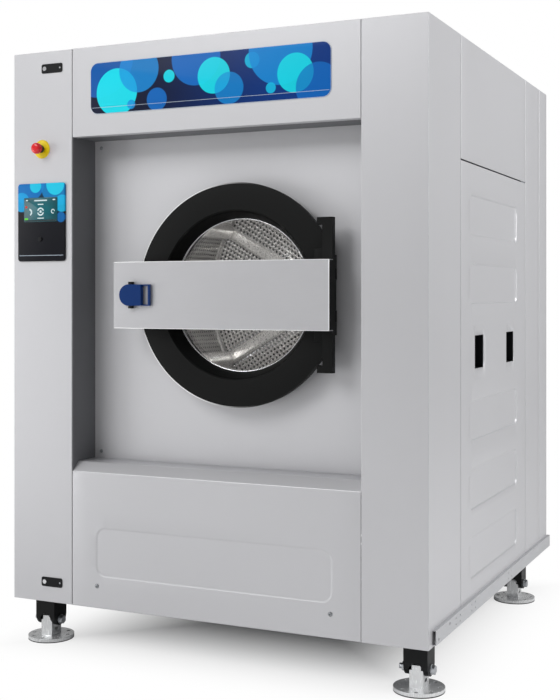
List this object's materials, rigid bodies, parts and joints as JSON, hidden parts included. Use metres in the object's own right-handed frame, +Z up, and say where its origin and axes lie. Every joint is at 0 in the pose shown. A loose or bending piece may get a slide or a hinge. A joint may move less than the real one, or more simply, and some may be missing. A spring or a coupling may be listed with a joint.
{
  "type": "commercial washing machine",
  "caption": "Free-standing industrial front-loading washer with hinged round door, crossbar and latch, control column, suspended tub and belt-driven drum.",
  "frame": {"origin": "bottom centre, on the floor", "axes": "+Z up, front faces -Y, +X to the right seen from the front"},
  "size_m": [1.432, 1.572, 1.928],
  "materials": {
    "panel_steel": "satin silver powder coat with fine metallic grain",
    "frame_paint": "grey primer paint on square tube",
    "bright_steel": "bright brushed stainless",
    "black_steel": "semi-matt black powder coat",
    "foot_steel": "zinc-plated machined steel",
    "black_rubber": "matt black rubber",
    "fastener_steel": "bright zinc-plated steel",
    "graphic_film": "glossy printed polyester film",
    "black_plastic": "matt black moulded plastic",
    "valve_brass": "machined brass",
    "valve_grey": "grey moulded plastic",
    "machined_steel": "turned steel",
    "unit_grey": "dark grey powder coat",
    "spring_steel": "grey coated spring steel",
    "gasket_rubber": "dark grey moulded rubber",
    "tub_steel": "dull stainless sheet",
    "cradle_paint": "grey painted plate",
    "cast_grey": "painted grey casting",
    "motor_blue": "blue-grey painted casting",
    "drum_steel": "polished perforated stainless",
    "pulley_iron": "dark painted casting",
    "ring_black": "semi-matt black coated casting",
    "door_glass": "clear pressed glass",
    "handle_blue": "satin blue moulded plastic",
    "panel_black": "glossy black and blue printed overlay",
    "screen_teal": "glossy lit touch screen",
    "stop_yellow": "glossy yellow plastic",
    "stop_red": "glossy red plastic",
    "stem_grey": "dark grey plastic",
    "lock_chrome": "bright nickel"
  },
  "bodies": {
    "cabinet": {"base_frame": "frame_paint", "trim_rails": "bright_steel", "leg_brackets": "black_steel", "foot_stands": "foot_steel", "foot_pads": "black_rubber", "leg_bolts": "fastener_steel", "header_panel": "panel_steel", "header_graphic": "graphic_film", "column_covers": "panel_steel", "lower_front_panel": "panel_steel", "cover_screws": "fastener_steel", "recess_surround": "panel_steel", "recess_panel": "panel_steel", "side_panels": "panel_steel", "side_vent_cups": "black_plastic", "top_panel": "panel_steel", "rear_panels": "panel_steel", "control_door_hinges": "foot_steel", "door_hinge_brackets": "black_steel", "lock_striker": "black_plastic", "water_inlet_valves": "valve_brass", "drain_valve_body": "valve_grey", "cable_gland": "black_plastic", "electrical_units": "unit_grey", "damper_cylinders": "black_steel", "suspension_springs": "spring_steel", "door_gasket": "gasket_rubber", "drain_hose": "black_rubber"},
    "suspension": {"tub_shell": "tub_steel", "tub_end_plates": "tub_steel", "tub_cradle": "cradle_paint", "bearing_housing": "cast_grey", "drum_bearings": "machined_steel", "motor_body": "motor_blue", "damper_rods": "machined_steel", "drive_belts": "black_rubber"},
    "drum": {"drum_shell": "drum_steel", "drum_ends": "drum_steel", "drum_lifters": "drum_steel", "drum_shaft": "machined_steel", "drum_pulley": "pulley_iron"},
    "motor_rotor": {"motor_pulley": "pulley_iron"},
    "door": {"door_ring": "ring_black", "door_glass": "door_glass", "glass_clamp_ring": "bright_steel", "door_crossbar": "bright_steel", "door_hinge_bar": "ring_black", "handle_mounts": "black_plastic"},
    "handle": {"door_handle": "handle_blue"},
    "latch": {"latch_bolt": "machined_steel"},
    "control_door": {"control_door_panel": "panel_steel", "control_panel": "panel_black", "touch_screen": "screen_teal", "estop_collar": "stop_yellow", "lock_plates": "black_plastic"},
    "stop_plunger": {"estop_plunger": "stem_grey"},
    "stop_head": {"estop_head": "stop_red"},
    "top_lock": {"upper_lock": "lock_chrome"},
    "bottom_lock": {"lower_lock": "lock_chrome"},
    "drain_disc": {"drain_valve_disc": "machined_steel"}
  },
  "joints": [
    {"name": "control_door_hinge", "type": "hinge", "parent": "cabinet", "child": "control_door", "pos_m": [-0.697, -0.735, 1.035], "axis": [0, 0, -1], "range_deg": [0, 100]},
    {"name": "loading_door_hinge", "type": "hinge", "parent": "cabinet", "child": "door", "pos_m": [0.385, -0.668, 1.136], "axis": [0, 0, 1], "range_deg": [0, 110]},
    {"name": "handle_turn", "type": "hinge", "parent": "door", "child": "handle", "pos_m": [-0.263, -0.745, 1.136], "axis": [0, 0, -1], "range_deg": [0, 25], "stiffness_Nm_per_rad": 3},
    {"name": "latch_slide", "type": "slide", "parent": "door", "child": "latch", "axis": [1, 0, 0], "range_m": [0, 0.0216]},
    {"name": "suspension_bounce", "type": "slide", "parent": "cabinet", "child": "suspension", "axis": [0, 0, 1], "range_m": [-0.012, 0.012], "stiffness_N_per_m": 160000, "springref_m": 0.0392, "deforming": ["suspension_springs", "drain_hose", "door_gasket"]},
    {"name": "drum_spin", "type": "hinge", "parent": "suspension", "child": "drum", "pos_m": [0.072, -0.2, 1.136], "axis": [0, 1, 0], "continuous": true},
    {"name": "motor_spin", "type": "hinge", "parent": "suspension", "child": "motor_rotor", "pos_m": [0.072, 0.4, 0.43], "axis": [0, 1, 0], "continuous": true},
    {"name": "stop_push", "type": "slide", "parent": "control_door", "child": "stop_plunger", "axis": [0, 1, 0], "range_m": [0, 0.006]},
    {"name": "stop_twist", "type": "hinge", "parent": "stop_plunger", "child": "stop_head", "pos_m": [-0.595, -0.775, 1.606], "axis": [0, 1, 0], "range_deg": [0, 45], "stiffness_Nm_per_rad": 0.3},
    {"name": "upper_lock_turn", "type": "hinge", "parent": "control_door", "child": "top_lock", "pos_m": [-0.583, -0.735, 1.864], "axis": [0, -1, 0], "range_deg": [0, 90]},
    {"name": "lower_lock_turn", "type": "hinge", "parent": "control_door", "child": "bottom_lock", "pos_m": [-0.583, -0.735, 0.215], "axis": [0, 1, 0], "range_deg": [0, 90]},
    {"name": "drain_valve_turn", "type": "hinge", "parent": "cabinet", "child": "drain_disc", "pos_m": [-0.12, 0.6, 0.29], "axis": [1, 0, 0], "range_deg": [0, 90]}
  ],
  "couplings": [
    {"joint": "latch_slide", "follows": "handle_turn", "m_per_rad": 0.0485},
    {"joint": "motor_spin", "follows": "drum_spin", "ratio": 5.0909}
  ]
}
